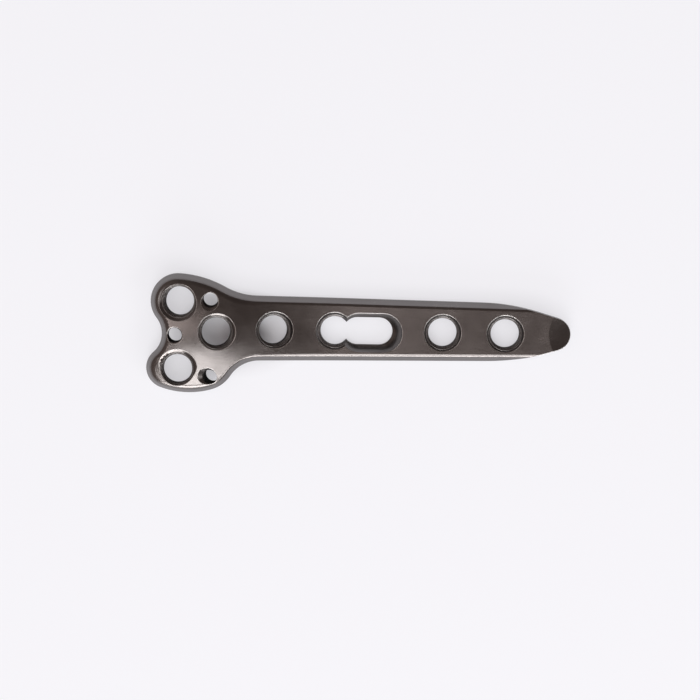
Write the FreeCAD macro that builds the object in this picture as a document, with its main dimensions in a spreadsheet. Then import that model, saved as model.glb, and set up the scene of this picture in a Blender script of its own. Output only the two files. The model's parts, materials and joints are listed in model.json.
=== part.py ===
import FreeCAD, Part
import math
import os
import Sketcher

# Orthopaedic bone plate for 3.5 mm locking screws: a straight tapered shaft with a bullet tip,
# and an offset two-lobed head that rises from the shaft and is crowned across its width.
# The origin is the axis of the middle shaft hole, on the underside of the shaft.
# +X points to the tip, -X to the head, +Z out of the top face.

Vector = FreeCAD.Vector
UP = Vector(0, 0, 1)

doc = FreeCAD.newDocument("bone_plate")
sizes = doc.addObject("Spreadsheet::Sheet", "sizes")

# Driving dimensions, in millimetres and degrees
DIMENSIONS = [
    ("plate_thickness", 2.8, "thickness of the plate, measured upright"),
    ("shaft_half_width", 4.48, "half width of the shaft at the origin"),
    ("shaft_centre_y", 0.15, "centre line of the shaft's outline, beside its line of holes"),
    ("shaft_taper", 0.8, "narrowing of each shaft edge towards the tip, degrees"),
    ("tip_end", 19.18, "distance from the origin to the end of the nose"),
    ("nose_radius", 2.44, "radius of the nose in plan"),
    ("tip_centre_y", 0.06, "centre line of the tip, beside the line of holes"),
    ("tip_half_angle", 16.3, "angle of each tip flank to the plate's axis, degrees"),
    ("tip_shoulder_radius", 32.0, "radius that leads the shaft edge into the tip flank"),
    ("tip_ramp_start", 15.9, "where the sloping face on top of the tip begins"),
    ("tip_ramp_slope", 8.0, "slope of that face, degrees"),
    ("tip_ramp_radius", 30.0, "radius of the hollow across that face"),
    ("upper_lobe_x", -39.8, "centre of the upper head lobe"),
    ("upper_lobe_y", 4.12, "centre of the upper head lobe"),
    ("upper_lobe_radius", 4.07, "radius of the upper head lobe"),
    ("lower_lobe_x", -36.04, "centre of the lower head lobe, shaft side"),
    ("lower_lobe_y", -4.4, "centre of the lower head lobe, shaft side"),
    ("lower_lobe_radius", 5.03, "radius of the lower head lobe, shaft side"),
    ("corner_x", -41.28, "centre of the lower head lobe's outer corner"),
    ("corner_y", -6.02, "centre of the lower head lobe's outer corner"),
    ("corner_radius", 3.16, "radius of that corner"),
    ("shoulder_radius", 16.0, "radius from the upper lobe down to the neck"),
    ("upper_neck_x", -27.8, "centre of the upper neck fillet along the plate"),
    ("upper_neck_radius", 10.3, "radius of the upper neck fillet"),
    ("lower_neck_radius", 5.1, "radius of the lower neck fillet"),
    ("sole_radius", 12.5, "radius along the bottom of the lower lobe"),
    ("notch_radius", 3.75, "radius of the notch between the two lobes"),
    ("ramp_start", -15.0, "where the plate starts to rise towards the head"),
    ("ramp_foot_radius", 68.0, "radius of the bend at the foot of the rise, in side view"),
    ("ramp_slope", 7.2, "slope of the neck, degrees"),
    ("crest_x", -38.3, "highest point of the head along the plate"),
    ("crest_radius", 40.0, "radius over the head, in side view"),
    ("crown_start", -17.0, "where the plate starts to be crowned across its width"),
    ("crown_full", -35.0, "where the head's full crown is reached"),
    ("crown_radius", 29.0, "radius of the head across its width"),
    ("bevel_width", 0.78, "width of the edge bevel in plan"),
    ("bevel_depth", 1.75, "depth of the edge bevel down the wall"),
    ("edge_round", 0.5, "rounding between the bevel and the top face of the shaft"),
    ("head_round", 1.2, "the same rounding on the head"),
    ("round_change", -30.0, "where the neck's edges pass from one rounding to the other"),
    ("under_break", 0.2, "width of the bevel that breaks the edge of the underside"),
    ("bore_radius", 2.15, "radius of a locking hole at its lower end"),
    ("bore_height", 1.0, "height of the cylindrical lower end of a locking hole"),
    ("thread_top_radius", 2.56, "radius of the conical seat below the rim"),
    ("rim_radius", 2.8, "radius of the rim of a locking hole in the shaft"),
    ("head_rim_radius", 2.96, "radius of the rim of a locking hole in the head"),
    ("rim_depth", 0.32, "depth of the chamfer at the rim"),
    ("neck_hole_x", -25.2, "locking hole at the neck end of the shaft"),
    ("neck_hole_lean", 7.5, "lean of its axis towards the tip, degrees"),
    ("combination_hole_x", -16.2, "round lobe of the combination hole"),
    ("tip_hole_x", 9.4, "locking hole nearest the tip"),
    ("head_hole_x", -33.8, "locking hole in the middle of the head"),
    ("head_hole_y", -0.38, "locking hole in the middle of the head"),
    ("head_hole_lean", 5.3, "lean of its axis towards the tip, degrees"),
    ("upper_hole_x", -39.58, "locking hole in the upper lobe"),
    ("upper_hole_y", 4.18, "locking hole in the upper lobe"),
    ("upper_hole_lean", 3.3, "lean of its axis away from the tip, degrees"),
    ("lower_hole_x", -39.65, "locking hole in the lower lobe"),
    ("lower_hole_y", -6.03, "locking hole in the lower lobe"),
    ("slot_start_x", -12.85, "first end centre of the compression slot"),
    ("slot_end_x", -9.6, "second end centre of the compression slot"),
    ("slot_radius", 2.08, "half width of the slot"),
    ("seat_start_x", -12.5, "first end centre of the slot's ball seat"),
    ("seat_end_x", -8.97, "second end centre of the slot's ball seat"),
    ("seat_y", -0.2, "offset of the ball seat across the plate"),
    ("seat_radius", 3.0, "radius of the ball seat"),
    ("seat_centre_height", 0.64, "height of the seat's ball centre over the top face"),
    ("wire_radius", 1.1, "radius of a wire hole"),
    ("wire_chamfer", 0.24, "chamfer at both ends of a wire hole"),
    ("wire_flare", 0.5, "how far the cutter's broken edge runs on past the faces"),
    ("upper_wire_x", -34.84, "wire hole beside the upper lobe"),
    ("upper_wire_y", 4.38, "wire hole beside the upper lobe"),
    ("upper_wire_tilt", 4.0, "lean of its axis towards the lower edge, degrees"),
    ("middle_wire_x", -40.12, "wire hole between the lobes"),
    ("middle_wire_y", -0.92, "wire hole between the lobes"),
    ("middle_wire_lean", 3.0, "lean of its axis away from the tip, degrees"),
    ("middle_wire_tilt", 3.0, "lean of its axis towards the lower edge, degrees"),
    ("lower_wire_x", -34.86, "wire hole in the lower lobe"),
    ("lower_wire_y", -7.2, "wire hole in the lower lobe"),
    ("lower_wire_lean", 11.0, "lean of its axis away from the tip, degrees"),
    ("lower_wire_tilt", 8.5, "lean of its axis towards the lower edge, degrees"),
    ("underside_lap", 0.02, "depth lapped off the shaft's underside to leave it dead flat"),
    ("skin_pitch", 4.0, "spacing of the stations of the top face"),
    ("stock_margin", 6.0, "how far blanks and cutters reach past the plate"),
]

for row, (alias, value, note) in enumerate(DIMENSIONS, start=1):
    sizes.set(f"A{row}", note)
    sizes.set(f"B{row}", str(value))
    sizes.setAlias(f"B{row}", alias)
doc.recompute()


def size(alias):
    return float(sizes.get(alias))


def point_at(centre, radius, towards):
    """Point of a circle in the direction of another point."""
    return centre + (towards - centre).normalize() * radius


def circle_crossing(first, first_radius, second, second_radius, side):
    """Crossing of two circles, on the left (1) or right (-1) of the line from first to second."""
    span = second - first
    along = (first_radius**2 - second_radius**2 + span.Length**2) / (2 * span.Length)
    across = math.sqrt(first_radius**2 - along**2)
    unit = Vector(span).normalize()
    return first + unit * along + Vector(-unit.y, unit.x, 0) * across * side


# Side view and crown of the top face


def side_height(x):
    """Height of the plate's crest line over the shaft: flat, bend, slope, then an arc over the head."""
    slope = math.radians(size("ramp_slope"))
    foot_end = size("ramp_start") - size("ramp_foot_radius") * math.sin(slope)
    crest_begin = size("crest_x") + size("crest_radius") * math.sin(slope)
    if x >= size("ramp_start"):
        return 0.0
    if x >= foot_end:
        run = size("ramp_start") - x
        return size("ramp_foot_radius") - math.sqrt(size("ramp_foot_radius") ** 2 - run**2)
    foot_rise = size("ramp_foot_radius") * (1 - math.cos(slope))
    if x >= crest_begin:
        return foot_rise + (foot_end - x) * math.tan(slope)
    top = foot_rise + (foot_end - crest_begin) * math.tan(slope)
    top += size("crest_radius") * (1 - math.cos(slope))
    run = x - size("crest_x")
    return top - size("crest_radius") + math.sqrt(size("crest_radius") ** 2 - run**2)


def crown_factor(x):
    """Fall of the face for each square millimetre from the centre line, eased in along the neck."""
    share = (size("crown_start") - x) / (size("crown_start") - size("crown_full"))
    share = min(max(share, 0.0), 1.0)
    eased = share**2 * (3 - 2 * share)
    return eased / (2 * size("crown_radius"))


def top_height(x, y):
    return size("plate_thickness") + side_height(x) - crown_factor(x) * y**2


def make_skin_block():
    """The plate's sheet: its top face as one smooth surface, thickened straight down."""
    margin = size("stock_margin")
    head_end = size("corner_x") - size("corner_radius") - margin
    spans = math.ceil((size("tip_end") + margin - head_end) / size("skin_pitch"))
    steps = [0, 1 / 3, *range(1, spans), spans - 1 / 3, spans]
    reach = size("lower_lobe_radius") - size("lower_lobe_y") + margin
    poles = []
    for step in steps:
        x = head_end + step * size("skin_pitch")
        level = size("plate_thickness") + side_height(x)
        fall = crown_factor(x) * reach**2
        heights = {-reach: level - fall, 0: level + fall, reach: level - fall}
        poles.append([Vector(x, y, height) for y, height in heights.items()])
    surface = Part.BSplineSurface()
    ends = [4] + [1] * (spans - 1) + [4]
    surface.buildFromPolesMultsKnots(poles, ends, [3, 3], list(range(spans + 1)), [0, 1], False, False, 3, 2)
    skin = doc.addObject("Part::Feature", "top_skin")
    skin.Shape = surface.toShape()
    block = doc.addObject("Part::Extrusion", "skin_block")
    block.Base = skin
    block.DirMode = "Custom"
    block.Dir = Vector(0, 0, -1)
    block.Solid = True
    block.setExpression("LengthFwd", "sizes.plate_thickness + sizes.underside_lap")
    return block


# Sketch helpers


def origin_plane(body, role):
    return next(part for part in body.Origin.OriginFeatures if part.Role == role)


def new_body(name):
    return doc.addObject("PartDesign::Body", name)


def new_sketch(body, name, role):
    sketch = body.newObject("Sketcher::SketchObject", name)
    sketch.AttachmentSupport = [(origin_plane(body, role), "")]
    sketch.MapMode = "FlatFace"
    return sketch


def bind(sketch, constraint, name, expression):
    """Add a dimension to the sketch and tie it to the sheet."""
    index = sketch.addConstraint(constraint)
    sketch.renameConstraint(index, name)
    sketch.setExpression(f"Constraints.{name}", expression)


def place_point(sketch, item, end, name, across, along):
    """Fix one point of a sketch at two expressions of the sheet."""
    if across == "0":
        sketch.addConstraint(Sketcher.Constraint("PointOnObject", item, end, -2))
    else:
        value = float(sizes.evalExpression(across))
        bind(sketch, Sketcher.Constraint("DistanceX", -1, 1, item, end, value), f"{name}_across", across)
    if along == "0":
        sketch.addConstraint(Sketcher.Constraint("PointOnObject", item, end, -1))
    else:
        value = float(sizes.evalExpression(along))
        bind(sketch, Sketcher.Constraint("DistanceY", -1, 1, item, end, value), f"{name}_along", along)


def bind_slope(sketch, line, name, expression):
    """Set the direction of a line, in degrees from the sketch's first axis."""
    angle = math.radians(float(sizes.evalExpression(expression)))
    bind(sketch, Sketcher.Constraint("Angle", line, angle), name, f"({expression}) * 1 deg")


def pad_both_ways(body, sketch, name):
    """Pad a plan sketch up and down, well past both faces of the plate."""
    pad = body.newObject("PartDesign::Pad", name)
    pad.Profile = sketch
    pad.Midplane = True
    pad.setExpression("Length", "4 * sizes.stock_margin")
    return body


def add_polygon(sketch, corners):
    """Closed run of straight lines; each corner is a name and two expressions of the sheet."""
    points = []
    for _, across, along in corners:
        points.append(Vector(float(sizes.evalExpression(across)), float(sizes.evalExpression(along)), 0))
    for index, point in enumerate(points):
        sketch.addGeometry(Part.LineSegment(point, points[(index + 1) % len(points)]))
    for index, (name, across, along) in enumerate(corners):
        following = (index + 1) % len(points)
        sketch.addConstraint(Sketcher.Constraint("Coincident", index, 2, following, 1))
        place_point(sketch, index, 1, name, across, along)


# Plan outlines


class Path:
    """A closed chain of lines and arcs in a sketch, each joined to the one before."""

    def __init__(self, sketch):
        self.sketch = sketch
        self.items = []

    def line(self, start, end):
        index = self.sketch.addGeometry(Part.LineSegment(start, end))
        self.items.append((index, 1, 2))
        return index

    def arc(self, centre, radius, start, end, turn):
        """Arc from start to end, turning left (1) or right (-1)."""
        first, last = (start, end) if turn > 0 else (end, start)
        angles = [math.atan2(point.y - centre.y, point.x - centre.x) for point in (first, last)]
        if angles[1] < angles[0]:
            angles[1] += 2 * math.pi
        circle = Part.Circle(centre, UP, radius)
        index = self.sketch.addGeometry(Part.ArcOfCircle(circle, angles[0], angles[1]))
        self.items.append((index, 1, 2) if turn > 0 else (index, 2, 1))
        return index

    def join(self, square_corners):
        """Join each item to the next, with a tangent unless the corner is named as a square one."""
        for (index, _, leave), (following, enter, _) in zip(self.items, self.items[1:] + self.items[:1]):
            kind = "Coincident" if (index, following) in square_corners else "Tangent"
            self.sketch.addConstraint(Sketcher.Constraint(kind, index, leave, following, enter))


def edge_line(path, side, start, end, label):
    """A shaft edge: sloped by the taper, at the shaft's half width beside the origin."""
    sketch = path.sketch
    index = path.line(start, end)
    anchor = sketch.addGeometry(Part.Point(Vector(0, shaft_edge_y(0, side), 0)), True)
    sketch.addConstraint(Sketcher.Constraint("PointOnObject", anchor, 1, index))
    place_point(sketch, anchor, 1, f"{label}_edge", "0", edge_expression(side))
    return index


def edge_expression(side):
    return f"sizes.shaft_centre_y + {side} * sizes.shaft_half_width"


def shaft_edge_y(x, side):
    half_width = size("shaft_half_width") - x * math.tan(math.radians(size("shaft_taper")))
    return size("shaft_centre_y") + side * half_width


def touch_on_edge(centre, side):
    """Point of a shaft edge nearest to a centre."""
    taper = math.radians(size("shaft_taper"))
    along = Vector(math.cos(taper), -side * math.sin(taper), 0)
    start = Vector(0, shaft_edge_y(0, side), 0)
    return start + along * (centre - start).dot(along)


def neck_centre_upper():
    """Centre of the upper neck fillet, which touches the shaft edge."""
    taper = math.radians(size("shaft_taper"))
    x = size("upper_neck_x")
    return Vector(x, shaft_edge_y(x, 1) + size("upper_neck_radius") / math.cos(taper), 0)


def neck_centre_lower(lobe):
    """Centre of the lower neck fillet, which touches the shaft edge and the lower lobe."""
    taper = math.radians(size("shaft_taper"))
    radius = size("lower_neck_radius")
    along = Vector(math.cos(taper), math.sin(taper), 0)
    outward = Vector(math.sin(taper), -math.cos(taper), 0)
    start = Vector(0, shaft_edge_y(0, -1), 0) + outward * radius
    offset = start - lobe
    middle = offset.dot(along)
    reach = math.sqrt(middle**2 - offset.dot(offset) + (size("lower_lobe_radius") + radius) ** 2)
    return start + along * (reach - middle)


def make_outline_block():
    """The plan outline of the head and a shaft that runs on past the tip, as an upright block."""
    body = new_body("outline_block")
    sketch = new_sketch(body, "outline_sketch", "XY_Plane")
    upper = Vector(size("upper_lobe_x"), size("upper_lobe_y"), 0)
    lower = Vector(size("lower_lobe_x"), size("lower_lobe_y"), 0)
    corner = Vector(size("corner_x"), size("corner_y"), 0)
    r_upper, r_lower, r_corner = size("upper_lobe_radius"), size("lower_lobe_radius"), size("corner_radius")
    r_shoulder, r_notch, r_sole = size("shoulder_radius"), size("notch_radius"), size("sole_radius")
    r_neck_up, r_neck_low = size("upper_neck_radius"), size("lower_neck_radius")

    neck_up = neck_centre_upper()
    neck_low = neck_centre_lower(lower)
    shoulder = circle_crossing(upper, r_shoulder - r_upper, neck_up, r_shoulder + r_neck_up, -1)
    notch = circle_crossing(upper, r_upper + r_notch, corner, r_corner + r_notch, -1)
    sole = circle_crossing(corner, r_sole - r_corner, lower, r_sole - r_lower, 1)

    far_x = size("tip_end") + size("stock_margin")
    far_up = Vector(far_x, shaft_edge_y(far_x, 1), 0)
    far_low = Vector(far_x, shaft_edge_y(far_x, -1), 0)
    foot_up, foot_low = touch_on_edge(neck_up, 1), touch_on_edge(neck_low, -1)
    neck_shoulder = point_at(neck_up, r_neck_up, shoulder)
    shoulder_lobe = point_at(shoulder, r_shoulder, upper)
    lobe_notch = point_at(upper, r_upper, notch)
    notch_corner = point_at(corner, r_corner, notch)
    corner_sole = point_at(sole, r_sole, corner)
    sole_lobe = point_at(sole, r_sole, lower)
    lobe_neck = point_at(lower, r_lower, neck_low)

    path = Path(sketch)
    end_line = path.line(far_low, far_up)
    upper_edge = edge_line(path, 1, far_up, foot_up, "upper")
    neck_up_arc = path.arc(neck_up, r_neck_up, foot_up, neck_shoulder, -1)
    shoulder_arc = path.arc(shoulder, r_shoulder, neck_shoulder, shoulder_lobe, 1)
    upper_arc = path.arc(upper, r_upper, shoulder_lobe, lobe_notch, 1)
    notch_arc = path.arc(notch, r_notch, lobe_notch, notch_corner, -1)
    corner_arc = path.arc(corner, r_corner, notch_corner, corner_sole, 1)
    sole_arc = path.arc(sole, r_sole, corner_sole, sole_lobe, 1)
    lower_arc = path.arc(lower, r_lower, sole_lobe, lobe_neck, 1)
    neck_low_arc = path.arc(neck_low, r_neck_low, lobe_neck, foot_low, -1)
    lower_edge = edge_line(path, -1, foot_low, far_low, "lower")
    path.join({(end_line, upper_edge), (lower_edge, end_line)})

    for arc, alias in (
        (neck_up_arc, "upper_neck_radius"),
        (shoulder_arc, "shoulder_radius"),
        (upper_arc, "upper_lobe_radius"),
        (notch_arc, "notch_radius"),
        (corner_arc, "corner_radius"),
        (sole_arc, "sole_radius"),
        (lower_arc, "lower_lobe_radius"),
        (neck_low_arc, "lower_neck_radius"),
    ):
        bind(sketch, Sketcher.Constraint("Radius", arc, size(alias)), alias, f"sizes.{alias}")
    place_point(sketch, upper_arc, 3, "upper_lobe", "sizes.upper_lobe_x", "sizes.upper_lobe_y")
    place_point(sketch, lower_arc, 3, "lower_lobe", "sizes.lower_lobe_x", "sizes.lower_lobe_y")
    place_point(sketch, corner_arc, 3, "corner", "sizes.corner_x", "sizes.corner_y")
    neck_x = Sketcher.Constraint("DistanceX", -1, 1, neck_up_arc, 3, size("upper_neck_x"))
    bind(sketch, neck_x, "upper_neck_x", "sizes.upper_neck_x")
    sketch.addConstraint(Sketcher.Constraint("Vertical", end_line))
    far = Sketcher.Constraint("DistanceX", -1, 1, end_line, 1, far_x)
    bind(sketch, far, "far_end", "sizes.tip_end + sizes.stock_margin")
    bind_slope(sketch, upper_edge, "upper_taper", "180 - sizes.shaft_taper")
    bind_slope(sketch, lower_edge, "lower_taper", "sizes.shaft_taper")
    return pad_both_ways(body, sketch, "outline_pad")


# Cutters


def make_turned_cutter(name, corners, centre, lean, tilt):
    """A turned cutter set on the top face over a plan centre.

    Its axis leans towards the tip by one angle and towards the upper edge by another, in degrees."""
    body = new_body(name)
    sketch = new_sketch(body, f"{name}_sketch", "XZ_Plane")
    add_polygon(sketch, corners)
    turned = body.newObject("PartDesign::Revolution", f"{name}_revolution")
    turned.Profile = sketch
    turned.ReferenceAxis = (sketch, ["V_Axis"])
    turned.Angle = 360
    seat = Vector(centre.x, centre.y, top_height(centre.x, centre.y))
    axis = Vector(math.tan(math.radians(lean)), math.tan(math.radians(tilt)), 1)
    body.Placement = FreeCAD.Placement(seat, FreeCAD.Rotation(UP, axis))
    return body


def make_locking_cutter(name, centre, lean=0.0, rim="rim_radius"):
    """Cylinder below, conical thread seat, rim chamfer; its zero height is the top face."""
    corners = [
        ("bottom_axis", "0", "-2 * sizes.plate_thickness"),
        ("bottom", "sizes.bore_radius", "-2 * sizes.plate_thickness"),
        ("bore_top", "sizes.bore_radius", "sizes.bore_height - sizes.plate_thickness"),
        ("seat_top", "sizes.thread_top_radius", "-sizes.rim_depth"),
        ("rim", f"sizes.{rim}", "0"),
        ("rim_above", f"sizes.{rim}", "sizes.plate_thickness"),
        ("top_axis", "0", "sizes.plate_thickness"),
    ]
    return make_turned_cutter(name, corners, centre, lean, 0.0)


def make_wire_cutter(name, centre, lean=0.0, tilt=0.0):
    """Straight hole for a guide wire, with its edges broken above and below."""
    flared = "sizes.wire_radius + sizes.wire_chamfer + sizes.wire_flare"
    corners = [
        ("bottom_axis", "0", "-sizes.plate_thickness - sizes.wire_flare"),
        ("bottom", flared, "-sizes.plate_thickness - sizes.wire_flare"),
        ("lower_wall", "sizes.wire_radius", "sizes.wire_chamfer - sizes.plate_thickness"),
        ("upper_wall", "sizes.wire_radius", "-sizes.wire_chamfer"),
        ("above", flared, "sizes.wire_flare"),
        ("top_axis", "0", "sizes.wire_flare"),
    ]
    return make_turned_cutter(name, corners, centre, lean, tilt)


def make_slot_cutter():
    """Upright slot of the combination hole, round at both ends."""
    body = new_body("slot_cutter")
    sketch = new_sketch(body, "slot_sketch", "XY_Plane")
    start, end, radius = size("slot_start_x"), size("slot_end_x"), size("slot_radius")
    path = Path(sketch)
    path.line(Vector(end, radius, 0), Vector(start, radius, 0))
    first = path.arc(Vector(start, 0, 0), radius, Vector(start, radius, 0), Vector(start, -radius, 0), 1)
    path.line(Vector(start, -radius, 0), Vector(end, -radius, 0))
    second = path.arc(Vector(end, 0, 0), radius, Vector(end, -radius, 0), Vector(end, radius, 0), 1)
    path.join(set())
    place_point(sketch, first, 3, "slot_start", "sizes.slot_start_x", "0")
    place_point(sketch, second, 3, "slot_end", "sizes.slot_end_x", "0")
    bind(sketch, Sketcher.Constraint("Radius", first, radius), "slot_radius", "sizes.slot_radius")
    return pad_both_ways(body, sketch, "slot_pad")


def make_seat_cutters():
    """Ball seat of the slot: a ball at each end and a bar between them."""
    height = "sizes.plate_thickness + sizes.seat_centre_height"
    cutters = []
    for name in ("seat_start", "seat_end"):
        ball = doc.addObject("Part::Sphere", f"{name}_ball")
        ball.setExpression("Radius", "sizes.seat_radius")
        ball.setExpression("Placement.Base.x", f"sizes.{name}_x")
        ball.setExpression("Placement.Base.y", "sizes.seat_y")
        ball.setExpression("Placement.Base.z", height)
        cutters.append(ball)
    bar = doc.addObject("Part::Cylinder", "seat_bar")
    bar.Placement = FreeCAD.Placement(Vector(), FreeCAD.Rotation(Vector(0, 1, 0), 90))
    bar.setExpression("Radius", "sizes.seat_radius")
    bar.setExpression("Height", "sizes.seat_end_x - sizes.seat_start_x")
    bar.setExpression("Placement.Base.x", "sizes.seat_start_x")
    bar.setExpression("Placement.Base.y", "sizes.seat_y")
    bar.setExpression("Placement.Base.z", height)
    return cutters + [bar]


def tip_shoulder(side):
    """Centre, start and end of a tip shoulder, measured from the middle of the tip's centre line."""
    flank, taper = math.radians(size("tip_half_angle")), math.radians(size("shaft_taper"))
    radius = size("tip_shoulder_radius")
    across_flank = Vector(math.sin(flank), math.cos(flank), 0)
    across_edge = Vector(math.sin(taper), math.cos(taper), 0)
    nose = Vector(size("tip_end") - size("nose_radius"), 0, 0)
    # the shoulder touches the flank and the shaft edge, so it lies one radius inside both
    inner_flank = nose + across_flank * (size("nose_radius") - radius)
    inner_edge = size("shaft_half_width") - radius / math.cos(taper)
    inner_edge += side * (size("shaft_centre_y") - size("tip_centre_y"))
    run = (inner_flank.y - inner_edge + inner_flank.x * math.tan(flank)) / (math.tan(flank) - math.tan(taper))
    centre = Vector(run, inner_edge - run * math.tan(taper), 0)
    points = centre, centre + across_edge * radius, centre + across_flank * radius
    return [Vector(point.x, side * point.y, 0) for point in points]


def make_tip_cutter():
    """Block around the tip, hollowed to the tip's plan: shoulder arcs, flanks and nose."""
    body = new_body("tip_cutter")
    sketch = new_sketch(body, "tip_sketch", "XY_Plane")
    sketch.setExpression(".AttachmentOffset.Base.y", "sizes.tip_centre_y")
    flank = math.radians(size("tip_half_angle"))
    r_nose, r_shoulder = size("nose_radius"), size("tip_shoulder_radius")
    nose = Vector(size("tip_end") - r_nose, 0, 0)
    upper_end = nose + Vector(math.sin(flank), math.cos(flank), 0) * r_nose
    lower_end = Vector(upper_end.x, -upper_end.y, 0)
    upper, upper_touch, upper_foot = tip_shoulder(1)
    lower, lower_touch, lower_foot = tip_shoulder(-1)
    wide, far = "sizes.shaft_half_width + sizes.stock_margin", "sizes.tip_end + 2 * sizes.stock_margin"
    reach, far_x = float(sizes.evalExpression(wide)), float(sizes.evalExpression(far))

    path = Path(sketch)
    outside = path.line(Vector(upper_touch.x, reach, 0), upper_touch)
    upper_shoulder = path.arc(upper, r_shoulder, upper_touch, upper_foot, -1)
    upper_flank = path.line(upper_foot, upper_end)
    nose_arc = path.arc(nose, r_nose, upper_end, lower_end, -1)
    lower_flank = path.line(lower_end, lower_foot)
    lower_shoulder = path.arc(lower, r_shoulder, lower_foot, lower_touch, -1)
    inside = path.line(lower_touch, Vector(lower_touch.x, -reach, 0))
    below = path.line(Vector(lower_touch.x, -reach, 0), Vector(far_x, -reach, 0))
    end_line = path.line(Vector(far_x, -reach, 0), Vector(far_x, reach, 0))
    above = path.line(Vector(far_x, reach, 0), Vector(upper_touch.x, reach, 0))
    square = {
        (outside, upper_shoulder),
        (lower_shoulder, inside),
        (inside, below),
        (below, end_line),
        (end_line, above),
        (above, outside),
    }
    path.join(square)
    place_point(sketch, nose_arc, 3, "nose", "sizes.tip_end - sizes.nose_radius", "0")
    bind(sketch, Sketcher.Constraint("Radius", nose_arc, r_nose), "nose_radius", "sizes.nose_radius")
    for side, name, arc, arc_end, touch, flank_line, slope in (
        (1, "upper", upper_shoulder, 2, upper_touch, upper_flank, "-sizes.tip_half_angle"),
        (-1, "lower", lower_shoulder, 1, lower_touch, lower_flank, "sizes.tip_half_angle - 180"),
    ):
        rounding = Sketcher.Constraint("Radius", arc, r_shoulder)
        bind(sketch, rounding, f"{name}_shoulder_radius", "sizes.tip_shoulder_radius")
        # the shaft edge, as a construction line that ends where the shoulder begins
        start = Vector(0, shaft_edge_y(0, side) - size("tip_centre_y"), 0)
        edge = sketch.addGeometry(Part.LineSegment(start, touch), True)
        place_point(sketch, edge, 1, f"{name}_edge", "0", f"{edge_expression(side)} - sizes.tip_centre_y")
        sketch.addConstraint(Sketcher.Constraint("Tangent", edge, 2, arc, arc_end))
        bind_slope(sketch, edge, f"{name}_taper", f"{-side} * sizes.shaft_taper")
        bind_slope(sketch, flank_line, f"{name}_flank", slope)
    for item in (outside, inside, end_line):
        sketch.addConstraint(Sketcher.Constraint("Vertical", item))
    for item in (below, above):
        sketch.addConstraint(Sketcher.Constraint("Horizontal", item))
    place_point(sketch, end_line, 1, "far_low", far, f"-({wide})")
    high = Sketcher.Constraint("DistanceY", -1, 1, end_line, 2, reach)
    bind(sketch, high, "far_high", wide)
    return pad_both_ways(body, sketch, "tip_pad")


def make_lap_cutter():
    """Block under the whole plate whose flat top is the shaft's underside."""
    block = doc.addObject("Part::Box", "lap_cutter")
    block.setExpression("Length", "sizes.tip_end - sizes.corner_x + 4 * sizes.stock_margin")
    block.setExpression("Width", "8 * sizes.shaft_half_width")
    block.setExpression("Height", "sizes.stock_margin")
    block.setExpression("Placement.Base.x", "sizes.corner_x - 2 * sizes.stock_margin")
    block.setExpression("Placement.Base.y", "-4 * sizes.shaft_half_width")
    block.setExpression("Placement.Base.z", "-sizes.stock_margin")
    return block


def make_tip_ramp_cutter():
    """Long drum whose underside makes the shallow hollow ramp on top of the tip."""
    slope = math.radians(size("tip_ramp_slope"))
    drum = doc.addObject("Part::Cylinder", "tip_ramp_cutter")
    drum.setExpression("Radius", "sizes.tip_ramp_radius")
    drum.setExpression("Height", "2 * (sizes.tip_end + sizes.stock_margin - sizes.tip_ramp_start)")
    along = Vector(math.cos(slope), 0, -math.sin(slope))
    lift = Vector(math.sin(slope), 0, math.cos(slope))
    ramp_start = Vector(size("tip_ramp_start"), 0, size("plate_thickness"))
    back = size("tip_end") + size("stock_margin") - size("tip_ramp_start")
    start = ramp_start - along * back + lift * size("tip_ramp_radius")
    drum.Placement = FreeCAD.Placement(start, FreeCAD.Rotation(UP, along))
    drum.setExpression("Placement.Base.y", "sizes.tip_centre_y")
    return drum


# The plate


def middle_normal(face):
    first, last, low, high = face.ParameterRange
    return face.normalAt((first + last) / 2, (low + high) / 2)


def widest_face(shape, direction):
    """The face that shows the most area towards a direction."""
    return max(shape.Faces, key=lambda face: face.Area * middle_normal(face).dot(direction))


def has_edge(face, edge):
    return any(edge.isSame(rim) for rim in face.Edges)


def side_edges(shape, face):
    """Numbered edges of a face along the outline, without the blank's cut end past the tip."""
    chosen = []
    for number, edge in enumerate(shape.Edges, start=1):
        on_outline = min(vertex.Point.x for vertex in edge.Vertexes) < size("tip_end")
        if has_edge(face, edge) and on_outline:
            chosen.append((number, edge))
    return chosen


def make_blank():
    """The crowned sheet trimmed to the outline of head and shaft."""
    blank = doc.addObject("Part::MultiCommon", "blank")
    blank.Shapes = [make_outline_block(), make_skin_block()]
    doc.recompute()
    return blank


def make_bevelled(blank):
    """Bevel round the top, narrow across the face and deep down the wall; a small one below."""
    bevelled = doc.addObject("Part::Chamfer", "bevelled")
    bevelled.Base = blank
    top = widest_face(blank.Shape, UP)
    settings = []
    for number, edge in side_edges(blank.Shape, top):
        owner = next(face for face in blank.Shape.Faces if has_edge(face, edge))
        cuts = [size("bevel_width"), size("bevel_depth")]
        if not owner.isSame(top):
            cuts.reverse()
        settings.append((number, *cuts))
    underside = widest_face(blank.Shape, -UP)
    narrow = size("under_break")
    settings += [(number, narrow, narrow) for number, _ in side_edges(blank.Shape, underside)]
    bevelled.Edges = settings
    doc.recompute()
    return bevelled


def round_at(point):
    """Radius of the rounding: it grows from the shaft's to the head's along the fillets of the neck."""
    return size("head_round") if point.x < size("round_change") else size("edge_round")


def make_rounded(bevelled):
    """Round the bevel into the top face."""
    rounded = doc.addObject("Part::Fillet", "rounded")
    rounded.Base = bevelled
    top = widest_face(bevelled.Shape, UP)
    settings = []
    for number, edge in side_edges(bevelled.Shape, top):
        first, last = edge.firstVertex().Point, edge.lastVertex().Point
        settings.append((number, round_at(first), round_at(last)))
    rounded.Edges = settings
    doc.recompute()
    return rounded


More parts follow.
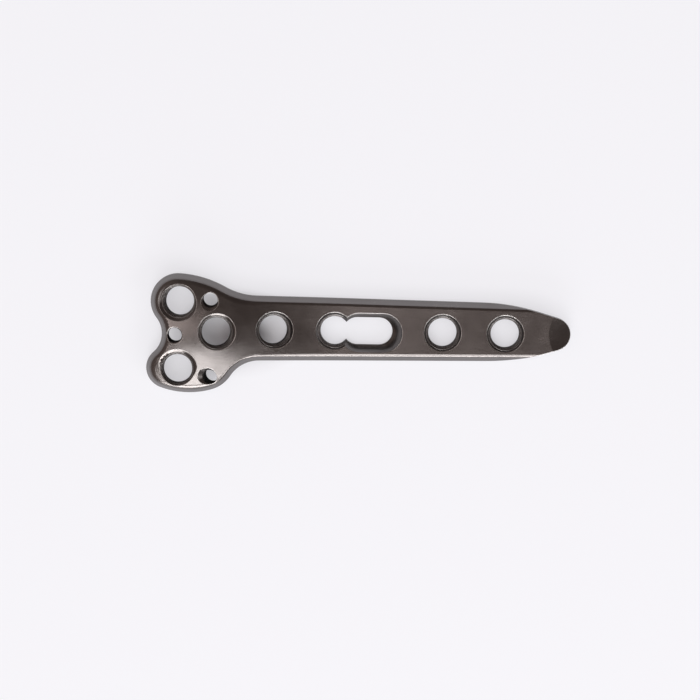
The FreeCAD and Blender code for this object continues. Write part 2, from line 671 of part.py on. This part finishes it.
def make_cutters():
    """Everything that is cut from the blank: the tip's shape, the slot and every hole."""

    def plan_point(alias):
        return Vector(size(f"{alias}_x"), size(f"{alias}_y"), 0)

    head_rim = "head_rim_radius"
    holes = [
        make_locking_cutter("neck_hole", Vector(size("neck_hole_x"), 0, 0), size("neck_hole_lean")),
        make_locking_cutter("combination_hole", Vector(size("combination_hole_x"), 0, 0)),
        make_locking_cutter("middle_hole", Vector(0, 0, 0)),
        make_locking_cutter("tip_hole", Vector(size("tip_hole_x"), 0, 0)),
        make_locking_cutter("head_hole", plan_point("head_hole"), size("head_hole_lean"), head_rim),
        make_locking_cutter("upper_hole", plan_point("upper_hole"), -size("upper_hole_lean"), head_rim),
        make_locking_cutter("lower_hole", plan_point("lower_hole"), 0.0, head_rim),
        make_wire_cutter("upper_wire_hole", plan_point("upper_wire"), 0.0, -size("upper_wire_tilt")),
    ]
    for name in ("middle_wire", "lower_wire"):
        leans = -size(f"{name}_lean"), -size(f"{name}_tilt")
        holes.append(make_wire_cutter(f"{name}_hole", plan_point(name), *leans))
    cutters = doc.addObject("Part::MultiFuse", "cutters")
    ends = [make_tip_cutter(), make_tip_ramp_cutter(), make_lap_cutter()]
    cutters.Shapes = [*ends, make_slot_cutter(), *make_seat_cutters(), *holes]
    return cutters


def make_plate():
    plate = doc.addObject("Part::Cut", "plate")
    plate.Label = "plate"
    plate.Base = make_rounded(make_bevelled(make_blank()))
    plate.Tool = make_cutters()
    doc.recompute()
    return plate


def check_document():
    for item in doc.Objects:
        if "Invalid" in item.State or "Error" in item.State:
            raise RuntimeError(f"{item.Label} could not be built: {item.State}")


def check_part(part):
    shape = part.Shape
    if shape.isNull() or not shape.isValid() or len(shape.Solids) != 1:
        raise RuntimeError(f"{part.Label} is not one valid solid")
    box = shape.optimalBoundingBox()
    extent = f"{box.XLength:.2f} x {box.YLength:.2f} x {box.ZLength:.2f} mm"
    print(f"{part.Label}: {shape.Volume:.1f} mm3, {extent}")


plate = make_plate()
check_document()
check_part(plate)
os.makedirs("parts", exist_ok=True)
plate.Shape.exportStep(f"parts/{plate.Label}.step")
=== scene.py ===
import json
import math

import bpy
from mathutils import Matrix, Vector


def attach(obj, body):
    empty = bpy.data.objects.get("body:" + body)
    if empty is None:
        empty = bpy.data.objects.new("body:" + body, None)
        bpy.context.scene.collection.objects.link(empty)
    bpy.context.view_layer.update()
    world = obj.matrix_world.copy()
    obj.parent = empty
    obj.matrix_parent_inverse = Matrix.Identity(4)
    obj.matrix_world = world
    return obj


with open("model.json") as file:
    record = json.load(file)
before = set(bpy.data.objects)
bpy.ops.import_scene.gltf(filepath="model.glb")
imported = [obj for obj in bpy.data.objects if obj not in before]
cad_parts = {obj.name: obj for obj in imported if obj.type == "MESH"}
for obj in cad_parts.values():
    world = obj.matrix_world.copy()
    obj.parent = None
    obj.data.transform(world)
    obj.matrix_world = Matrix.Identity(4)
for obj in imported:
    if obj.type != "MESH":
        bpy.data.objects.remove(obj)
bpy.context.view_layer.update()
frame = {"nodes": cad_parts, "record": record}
MM = 0.001
WHITE = (1.0, 1.0, 1.0)

# the photo: its width on the object, the point at its middle and its turn
PHOTO_WIDTH = 105.3 * MM
PHOTO_MIDDLE = Vector((-13.855, -2.915, 1.4)) * MM
PHOTO_TURN = math.radians(1.04)
CAMERA_DISTANCE = 450 * MM
CAMERA_LEAN = math.radians(4.5)
SENSOR_WIDTH = 36.0
NEAREST_SEEN = 0.01
FARTHEST_SEEN = 10.0

# the locking holes, as in the model
BORE_RADIUS = 2.15 * MM
BORE_HEIGHT = 1.0 * MM
SEAT_TOP_RADIUS = 2.56 * MM
SEAT_HEIGHT = 1.48 * MM

# the thread ridge: where it starts and ends above the foot of the seat, and how far it stands out or is sunk
THREAD_PITCH = 0.42 * MM
THREAD_START = 0.16 * MM
THREAD_END = SEAT_HEIGHT - 0.08 * MM
THREAD_PROUD = 0.08 * MM
THREAD_SUNK = 0.05 * MM
STEPS_PER_TURN = 72
# its section: the share of the pitch at which each corner lies, and whether the corner stands out
THREAD_SECTION = ((-0.50, False), (-0.14, True), (0.14, True), (0.50, False))
# it runs out over this many steps at its ends, and over these degrees beside a gap in the wall
END_STEPS = 16
GAP_DEGREES = 20
# arcs at which the round end of the combination hole opens into its slot, in degrees
SLOT_ARCS = ((0, 54), (306, 360))

# the toothed ledge seen from above: its arc in degrees, its radii and its teeth
LEDGE_START = 92
LEDGE_END = 262
LEDGE_STEP = 2.5
LEDGE_OUTER = 2.99 * MM
LEDGE_INNER = 2.88 * MM
TOOTH_LENGTH = 0.20 * MM
TOOTH_PERIOD = 13
LEDGE_END_STEPS = 8
# its fall towards the hole, its depth, and how far its outer edge lies below the surface
LEDGE_SLOPE = 0.2
LEDGE_DEPTH = 0.1 * MM
LEDGE_DROP = 0.01 * MM
# the surface is measured this far outside the ledge, from this height
MEASURE_OUTSIDE = 0.1 * MM
MEASURE_FROM = 50 * MM

# noise in the titanium: its scale per metre, its detail and its roughness
CLOUDS = (210.0, 4.0, 0.6)
GRAIN = (9000.0, 3.0, 0.7)
STREAKS = (5200.0, 3.0, 0.6)
PATCHES = (900.0, 4.0, 0.6)
# the milling streaks are drawn out along the plate
STREAK_STRETCH = (0.12, 1.0, 1.0)
NOISE_RANGE = (0.3, 0.7)
GRAIN_RANGE = (0.35, 0.65)
GRAIN_MOST = 0.55

# colours of the titanium
DARK_COAT = (0.152, 0.141, 0.138)
LIGHT_COAT = (0.188, 0.174, 0.170)
BARE_METAL = (0.72, 0.70, 0.69, 1.0)
# painted shade: the near black that the walls deep in the holes are darkened towards
HOLE_SHADE_COLOUR = (0.03, 0.028, 0.028, 1.0)
EDGE_TINT = (0.85, 0.85, 0.85, 1.0)

# roughness of the coat, what the streaks add to it, and what the hole walls and the worn rims add
COAT_ROUGHNESS = (0.20, 0.26)
STREAK_ROUGHNESS = (-0.02, 0.03)
WALL_ROUGHNESS = 0.6
WORN_ROUGHNESS = 0.30

# relief of the grain and the streaks
RELIEF_STRENGTH = 0.18
RELIEF_DEPTH = 0.02 * MM
STREAK_RELIEF = 0.4

# rounding of the sharp edges in the material, and the cosines of its turn between which it takes over
ROUNDING = 0.17 * MM
ROUNDING_SAMPLES = 8
ROUNDED_TURN = (0.999, 0.992)

# worn rims: where their share goes from 0 to 1, by the cosine of the edge's turn, by that of a sliver's turn,
# and by the rise of the rounded normal; the patches take it from the third number to the fourth
WORN_TURN = (0.988, 0.94)
SLIVER_TURN = (0.97, 0.99)
BELOW_FLAT = (0.995, 0.975)
ABOVE_STEEP = (0.55, 0.75)
WORN_PATCHES = (0.3, 0.6, 0.35, 1.0)
WORN_MOST = 0.85

# hole walls, which get a painted shade and more roughness: how far around a point counts, and where their
# share goes from 0 to 1, by opening and by rise
HOLLOW_REACH = 6 * MM
HOLLOW_SAMPLES = 6
HOLLOW_OPENING = (0.80, 0.55)
STEEP_RISE = (0.85, 0.55)
WALL_SHADE_MOST = 0.85

# bare titanium, beside the coated one: its tone, and what it adds to the roughness
BARE_TONE = 5.0
BARE_DULLNESS = 0.45

# floor: its glow fades out in an oval under the neck, a painted shadow, and is weaker where the floor sees
# little of the room, a painted shade near and under the plate
FLOOR_COLOUR = (0.76, 0.77, 0.81, 1.0)
FLOOR_REACH = 3.0
FLOOR_DROP = 0.02 * MM
GLOW_COLOUR = (0.97, 0.962, 1.0, 1.0)
GLOW_MOST = 0.75
SHADE_PLACE = Vector((-30.5, -0.8, 0)) * MM
SHADE_STRETCH = (1.0, 1.5, 1.0)
SHADE_RANGE = (2.2 * MM, 10.2 * MM)
# painted shade near the plate and in its holes: how far the floor looks around, and how its glow falls with
# the share of room it sees
ROOM_REACH = 8 * MM
ROOM_SAMPLES = 8
DIRECT_OPENING = (0.1, 0.6)
DIRECT_LEAST = 0.58
MIRRORED_OPENING = (0.3, 0.7)

# lamps: lean from the vertical, azimuth, width and height in degrees, brightness, colour where it isn't white
LAMP_DISTANCE = 0.8
WARM = (1.0, 0.90, 0.87)
SOFTBOXES = {
    "key": (28, 268, 18, 22, 4.8),
    "front": (44, 262, 26, 14, 4.4),
    "left": (10, 185, 14, 18, 1.5, WARM),
    "left_high": (25, 180, 18, 12, 2.4, WARM),
    "back_left": (38, 155, 22, 14, 1.5),
    "front_right": (54, 315, 34, 18, 5.6),
    "low_right": (72, 345, 24, 16, 1.4),
    "low_front": (74, 270, 40, 24, 7.8),
}

# room around the plate: it brightens towards one side
ROOM_COLOUR = (1.0, 0.80, 0.73, 1.0)
ROOM_AZIMUTH = 190
ROOM_EDGE = 0.35
ROOM_LEAST = 0.15
ROOM_MOST = 0.30
LEVEL = 90


# Node trees


class Nodes:
    """Short way to write a node tree."""

    def __init__(self, tree):
        self.tree = tree
        tree.nodes.clear()

    def add(self, kind, **settings):
        node = self.tree.nodes.new(kind)
        for name, value in settings.items():
            setattr(node, name, value)
        return node

    def link(self, source, target):
        self.tree.links.new(source, target)

    def put(self, target, value):
        """Set a socket to a value, or link another socket to it."""
        if isinstance(value, bpy.types.NodeSocket):
            self.link(value, target)
        else:
            target.default_value = value

    def add_up(self, first, second, clamp=False):
        node = self.add("ShaderNodeMath", operation="ADD", use_clamp=clamp)
        self.put(node.inputs[0], first)
        self.put(node.inputs[1], second)
        return node.outputs[0]

    def product(self, result, *others):
        for other in others:
            node = self.add("ShaderNodeMath", operation="MULTIPLY")
            self.put(node.inputs[0], result)
            self.put(node.inputs[1], other)
            result = node.outputs[0]
        return result

    def vector(self, operation, *values, result="Vector"):
        node = self.add("ShaderNodeVectorMath", operation=operation)
        for target, value in zip(node.inputs, values):
            self.put(target, value)
        return node.outputs[result]

    def rise(self, vector):
        """Vertical part of a vector."""
        node = self.add("ShaderNodeSeparateXYZ")
        self.link(vector, node.inputs[0])
        return node.outputs["Z"]

    def noise(self, vector, scale, detail, roughness):
        node = self.add("ShaderNodeTexNoise")
        self.link(vector, node.inputs["Vector"])
        node.inputs["Scale"].default_value = scale
        node.inputs["Detail"].default_value = detail
        node.inputs["Roughness"].default_value = roughness
        return node.outputs["Fac"]

    def between(self, value, low, high, to_low=0.0, to_high=1.0):
        """Carry a value from one range to another; it stops at the ends."""
        node = self.add("ShaderNodeMapRange")
        self.link(value, node.inputs["Value"])
        for name, number in (("From Min", low), ("From Max", high), ("To Min", to_low), ("To Max", to_high)):
            node.inputs[name].default_value = number
        return node.outputs["Result"]

    def blend(self, share, first, second, kind="RGBA"):
        node = self.add("ShaderNodeMix", data_type=kind)
        self.put(node.inputs["Factor"], share)
        self.put(node.inputs["A"], first)
        self.put(node.inputs["B"], second)
        return node.outputs["Result"]

    def opening(self, reach, samples, only_local=False):
        """Share of the surroundings that nothing hides within a distance."""
        node = self.add("ShaderNodeAmbientOcclusion", samples=samples, only_local=only_local)
        node.inputs["Distance"].default_value = reach
        return node.outputs["AO"]

    def show(self, shader, kind="ShaderNodeOutputMaterial"):
        """Make a shader the result of the tree."""
        self.link(shader, self.add(kind).inputs["Surface"])


def new_material(name):
    material = bpy.data.materials.new(name)
    material.use_nodes = True
    return material, Nodes(material.node_tree)


# Titanium


def milling_streaks(nodes, place):
    stretch = nodes.add("ShaderNodeMapping")
    nodes.link(place, stretch.inputs["Vector"])
    stretch.inputs["Scale"].default_value = STREAK_STRETCH
    return nodes.noise(stretch.outputs["Vector"], *STREAKS)


def worn_share(nodes, place, own_normal, true_normal, soft_normal, turn):
    """Share of bare metal: patches along the rims, where the rounded normal leaves the true one."""
    # slivers of the mesh, whose own normal isn't that of their smooth surface, are no edges
    smooth = nodes.vector("DOT_PRODUCT", own_normal, true_normal, result="Value")
    # only the outer rims, where the rounded normal still looks up
    rise = nodes.rise(soft_normal)
    return nodes.product(
        nodes.between(turn, *WORN_TURN),
        nodes.between(smooth, *SLIVER_TURN),
        nodes.between(rise, *BELOW_FLAT),
        nodes.between(rise, *ABOVE_STEEP),
        nodes.between(nodes.noise(place, *PATCHES), *WORN_PATCHES),
        WORN_MOST,
    )


def shaded_wall_share(nodes, true_normal):
    """Share of the steep walls deep inside the holes, which get a painted shade and a duller surface."""
    hollow = nodes.between(nodes.opening(HOLLOW_REACH, HOLLOW_SAMPLES, only_local=True), *HOLLOW_OPENING)
    return nodes.product(hollow, nodes.between(nodes.rise(true_normal), *STEEP_RISE))


def titanium_colour(nodes, tone, clouds, grain, wall, worn):
    dark = (*(tone * part for part in DARK_COAT), 1.0)
    light = (*(tone * part for part in LIGHT_COAT), 1.0)
    colour = nodes.blend(nodes.between(clouds, *NOISE_RANGE), dark, light)
    colour = nodes.blend(nodes.between(grain, *GRAIN_RANGE, 0.0, GRAIN_MOST), colour, light)
    # painted shade: the walls deep in the holes are darkened towards near black
    colour = nodes.blend(nodes.product(wall, WALL_SHADE_MOST), colour, HOLE_SHADE_COLOUR)
    return nodes.blend(worn, colour, BARE_METAL)


def titanium_roughness(nodes, dullness, clouds, streaks, wall, worn):
    least, most = COAT_ROUGHNESS
    rough = nodes.between(clouds, *NOISE_RANGE, least + dullness, most + dullness)
    rough = nodes.add_up(rough, nodes.between(streaks, *NOISE_RANGE, *STREAK_ROUGHNESS))
    rough = nodes.add_up(rough, nodes.product(wall, WALL_ROUGHNESS))
    return nodes.add_up(rough, nodes.product(worn, WORN_ROUGHNESS))


def titanium_normal(nodes, own_normal, soft_normal, turn, grain, streaks):
    """Fine relief on rounded edges; ground away from the edges keeps its own normal under it."""
    relief = nodes.add("ShaderNodeBump")
    relief.inputs["Strength"].default_value = RELIEF_STRENGTH
    relief.inputs["Distance"].default_value = RELIEF_DEPTH
    nodes.link(nodes.add_up(grain, nodes.product(streaks, STREAK_RELIEF)), relief.inputs["Height"])
    rounded = nodes.blend(nodes.between(turn, *ROUNDED_TURN), own_normal, soft_normal, kind="VECTOR")
    nodes.link(rounded, relief.inputs["Normal"])
    return relief.outputs["Normal"]


def make_titanium(name, tone=1.0, dullness=0.0):
    """Satin dark anodised titanium: fine grain, faint clouding, bare metal on the sharpest edges, painted
    shade on the walls deep in the holes.
    """
    material, nodes = new_material(name)
    place = nodes.add("ShaderNodeTexCoord").outputs["Object"]
    clouds = nodes.noise(place, *CLOUDS)
    grain = nodes.noise(place, *GRAIN)
    streaks = milling_streaks(nodes, place)

    ground = nodes.add("ShaderNodeNewGeometry")
    own_normal = ground.outputs["Normal"]
    true_normal = ground.outputs["True Normal"]
    soft = nodes.add("ShaderNodeBevel", samples=ROUNDING_SAMPLES)
    soft.inputs["Radius"].default_value = ROUNDING
    soft_normal = soft.outputs["Normal"]
    turn = nodes.vector("DOT_PRODUCT", soft_normal, true_normal, result="Value")
    worn = worn_share(nodes, place, own_normal, true_normal, soft_normal, turn)
    # share of painted shade and extra roughness on the walls deep in the holes
    wall = shaded_wall_share(nodes, true_normal)

    shader = nodes.add("ShaderNodeBsdfPrincipled")
    shader.inputs["Metallic"].default_value = 1.0
    shader.inputs["Specular Tint"].default_value = EDGE_TINT
    nodes.link(titanium_colour(nodes, tone, clouds, grain, wall, worn), shader.inputs["Base Color"])
    nodes.link(titanium_roughness(nodes, dullness, clouds, streaks, wall, worn), shader.inputs["Roughness"])
    normal = titanium_normal(nodes, own_normal, soft_normal, turn, grain, streaks)
    nodes.link(normal, shader.inputs["Normal"])
    nodes.show(shader.outputs["BSDF"])
    return material


# Threads of the locking holes


def new_piece(name, points, faces, material):
    mesh = bpy.data.meshes.new(name)
    mesh.from_pydata(points, [], faces)
    mesh.validate()
    mesh.update()
    piece = bpy.data.objects.new(name, mesh)
    piece.data.materials.append(material)
    bpy.context.scene.collection.objects.link(piece)
    return piece


def thread_section(angle, height, share):
    """Corners of the ridge's section, in the hole's own axes; the share is how far it stands out."""
    wall = BORE_RADIUS + (SEAT_TOP_RADIUS - BORE_RADIUS) * height / SEAT_HEIGHT
    corners = []
    for place, stands_out in THREAD_SECTION:
        radius = wall - THREAD_PROUD * share if stands_out else wall + THREAD_SUNK
        level = height + place * THREAD_PITCH
        corners.append(Vector((radius * math.cos(angle), radius * math.sin(angle), level)))
    return corners


def make_thread(name, seat_foot, axis, gaps):
    """Ridge that winds up the conical seat of a locking hole; gaps are arcs in degrees with no wall."""
    sideways = Vector((0, 1, 0)).cross(axis).normalized()
    spin = Matrix((sideways, axis.cross(sideways), axis)).transposed()
    points, faces = [], []
    count = int((THREAD_END - THREAD_START) / THREAD_PITCH * STEPS_PER_TURN)
    previous = None
    for step in range(count + 1):
        angle = 2 * math.pi * step / STEPS_PER_TURN
        degrees = math.degrees(angle) % 360
        if any(start <= degrees <= end for start, end in gaps):
            previous = None
            continue
        shares = [1.0, step / END_STEPS, (count - step) / END_STEPS]
        shares += [abs(degrees - side) / GAP_DEGREES for gap in gaps for side in gap]
        height = THREAD_START + THREAD_PITCH * step / STEPS_PER_TURN
        section = thread_section(angle, height, min(shares))
        ring = [len(points) + corner for corner in range(len(section))]
        points += [seat_foot + spin @ corner for corner in section]
        if previous:
            for first, second in ((0, 1), (1, 2), (2, 3), (3, 0)):
                faces.append((previous[first], ring[first], ring[second], previous[second]))
        else:
            faces.append(tuple(ring))
        previous = ring
    piece = new_piece(name, points, faces, titanium)
    for polygon in piece.data.polygons:
        polygon.use_smooth = True
    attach(piece, "root")


def make_threads():
    for mount in frame["record"]["mounts"]:
        if mount["kind"] != "threaded_hole":
            continue
        axis = Vector(mount["axis"]).normalized()
        # the middle hole is placed at the foot of its plain bore, the others at the bore's middle
        lift = BORE_HEIGHT if mount["name"] == "middle_hole" else BORE_HEIGHT / 2
        gaps = SLOT_ARCS if mount["name"] == "combination_hole" else ()
        make_thread(f"thread_{mount['name']}", Vector(mount["pos_m"]) + axis * lift, axis, gaps)
        if mount["name"] == "lower_hole":
            make_run_out(Vector(mount["pos_m"]))


def top_height(x, y):
    """Height of the plate's upper surface over a point of the floor."""
    to_plate = plate.matrix_world.inverted()
    start = to_plate @ Vector((x, y, MEASURE_FROM))
    place = plate.ray_cast(start, to_plate.to_3x3() @ Vector((0, 0, -1)))[1]
    return (plate.matrix_world @ place).z


def ledge_section(centre, angle, inside):
    """Corners of the ledge's section at an angle: its outer edge, its inner edge and its foot."""
    away = Vector((math.cos(angle), math.sin(angle), 0))
    outer_edge = (centre + away * LEDGE_OUTER).to_2d()
    inner_edge = (centre + away * inside).to_2d()
    height = top_height(*(centre + away * (LEDGE_OUTER + MEASURE_OUTSIDE)).to_2d())
    fallen = height - (LEDGE_OUTER - inside) * LEDGE_SLOPE
    return [
        Vector((*outer_edge, height - LEDGE_DROP)),
        Vector((*inner_edge, fallen)),
        Vector((*outer_edge, fallen - LEDGE_DEPTH)),
    ]


def make_run_out(centre):
    """Toothed ledge where the thread of a hole in the sloping head runs out into the rim."""
    points, faces = [], []
    count = int((LEDGE_END - LEDGE_START) / LEDGE_STEP)
    for number in range(count + 1):
        degrees = LEDGE_START + number * LEDGE_STEP
        wave = 2 * abs((degrees / TOOTH_PERIOD) % 1 - 0.5)
        share = min(1.0, number / LEDGE_END_STEPS, (count - number) / LEDGE_END_STEPS)
        inside = LEDGE_OUTER - (LEDGE_OUTER - LEDGE_INNER + TOOTH_LENGTH * wave) * share
        points += ledge_section(centre, math.radians(degrees), inside)
    for number in range(count):
        for first, second in ((0, 1), (1, 2), (2, 0)):
            near, far = 3 * number + first, 3 * number + second
            faces.append((near, far, far + 3, near + 3))
    faces += [(0, 2, 1), (3 * count, 3 * count + 1, 3 * count + 2)]
    piece = new_piece("thread_run_out", points, faces, bare_titanium)
    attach(piece, "root")


# Floor


def floor_glow(nodes):
    """Share of the floor's own brightness, for what is seen of it directly or mirrored; it fades in a painted
    shadow under the neck and in painted shade where little of the room is open.
    """
    place = nodes.add("ShaderNodeNewGeometry").outputs["Position"]
    # painted shadow: the glow fades out in an oval under the neck
    offset = nodes.vector("SUBTRACT", place, SHADE_PLACE)
    stretched = nodes.vector("MULTIPLY", offset, SHADE_STRETCH)
    away = nodes.vector("LENGTH", stretched, result="Value")
    bright = nodes.between(away, *SHADE_RANGE, 0.0, GLOW_MOST)
    path = nodes.add("ShaderNodeLightPath").outputs
    # painted shade: the glow seen directly is weaker where the floor sees little of the room, at the plate's
    # edges and in its holes
    opening = nodes.opening(ROOM_REACH, ROOM_SAMPLES)
    direct = nodes.product(path["Is Camera Ray"], nodes.between(opening, *DIRECT_OPENING, DIRECT_LEAST, 1.0))
    # painted shade in reflections: the glow seen mirrored falls away where the floor sees little of the room,
    # which darkens the hole walls
    mirrored = nodes.add_up(path["Is Glossy Ray"], path["Is Transmission Ray"], clamp=True)
    mirrored = nodes.product(mirrored, nodes.between(opening, *MIRRORED_OPENING))
    return nodes.product(nodes.add_up(direct, mirrored, clamp=True), bright)


def make_floor_material():
    """Pale sheet that takes the plate's shadow and glows where it is seen, less so in its painted shadow
    under the neck and its painted shade near the plate.
    """
    material, nodes = new_material("pale_floor")
    sheet = nodes.add("ShaderNodeBsdfDiffuse")
    sheet.inputs["Color"].default_value = FLOOR_COLOUR
    glow = nodes.add("ShaderNodeEmission")
    glow.inputs["Color"].default_value = GLOW_COLOUR
    mix = nodes.add("ShaderNodeMixShader")
    nodes.link(floor_glow(nodes), mix.inputs["Fac"])
    nodes.link(sheet.outputs["BSDF"], mix.inputs[1])
    nodes.link(glow.outputs["Emission"], mix.inputs[2])
    nodes.show(mix.outputs["Shader"])
    return material


def make_floor():
    ends = (-FLOOR_REACH, FLOOR_REACH)
    corners = [(x, y, 0) for y in ends for x in ends]
    floor = new_piece("floor", corners, [(0, 1, 3, 2)], make_floor_material())
    floor.location.z = -FLOOR_DROP


# Light and camera


def direction(lean, azimuth):
    """Unit vector that leans from the vertical towards an azimuth, both in degrees; 0 is +X."""
    lean, azimuth = math.radians(lean), math.radians(azimuth)
    return Vector((math.sin(lean) * math.cos(azimuth), math.sin(lean) * math.sin(azimuth), math.cos(lean)))


def make_softbox(name, lean, azimuth, wide, tall, brightness, colour=WHITE):
    """Flat lamp aimed at the plate; its width and height are the angles it fills, seen from there."""
    lamp = bpy.data.lights.new(name, "AREA")
    lamp.color = colour
    lamp.shape = "RECTANGLE"
    lamp.size = 2 * LAMP_DISTANCE * math.tan(math.radians(wide / 2))
    lamp.size_y = 2 * LAMP_DISTANCE * math.tan(math.radians(tall / 2))
    lamp.energy = brightness * math.pi * lamp.size * lamp.size_y
    item = bpy.data.objects.new(name, lamp)
    item.location = PHOTO_MIDDLE + direction(lean, azimuth) * LAMP_DISTANCE
    item.rotation_mode = "QUATERNION"
    item.rotation_quaternion = direction(lean, azimuth).to_track_quat("Z", "Y")
    bpy.context.scene.collection.objects.link(item)


def make_room():
    """Dim surroundings that brighten towards one side."""
    world = bpy.data.worlds.new("studio")
    world.use_nodes = True
    nodes = Nodes(world.node_tree)
    place = nodes.add("ShaderNodeTexCoord").outputs["Generated"]
    towards = nodes.vector("DOT_PRODUCT", place, direction(LEVEL, ROOM_AZIMUTH), result="Value")
    light = nodes.add("ShaderNodeBackground")
    light.inputs["Color"].default_value = ROOM_COLOUR
    strength = nodes.between(towards, -ROOM_EDGE, ROOM_EDGE, ROOM_LEAST, ROOM_MOST)
    nodes.link(strength, light.inputs["Strength"])
    nodes.show(light.outputs["Background"], "ShaderNodeOutputWorld")
    bpy.context.scene.world = world


def make_light():
    for name, values in SOFTBOXES.items():
        make_softbox(name, *values)
    make_room()


def make_camera():
    camera = bpy.data.cameras.new("camera")
    camera.sensor_width = SENSOR_WIDTH
    camera.lens = SENSOR_WIDTH * CAMERA_DISTANCE / PHOTO_WIDTH
    camera.clip_start = NEAREST_SEEN
    camera.clip_end = FARTHEST_SEEN
    item = bpy.data.objects.new("camera", camera)
    back = Vector((0, math.sin(CAMERA_LEAN), math.cos(CAMERA_LEAN)))
    up = Vector((0, math.cos(CAMERA_LEAN), -math.sin(CAMERA_LEAN)))
    turned = Matrix.Rotation(PHOTO_TURN, 3, back) @ up
    axes = Matrix((turned.cross(back), turned, back)).transposed()
    item.matrix_world = Matrix.Translation(PHOTO_MIDDLE + back * CAMERA_DISTANCE) @ axes.to_4x4()
    bpy.context.scene.collection.objects.link(item)
    bpy.context.scene.camera = item


titanium = make_titanium("anodised_titanium")
bare_titanium = make_titanium("bare_titanium", BARE_TONE, BARE_DULLNESS)
plate = frame["nodes"]["plate"]
for slot in plate.material_slots:
    slot.material = titanium
make_threads()
make_floor()
make_light()
make_camera()
bpy.context.scene.view_settings.view_transform = "Standard"
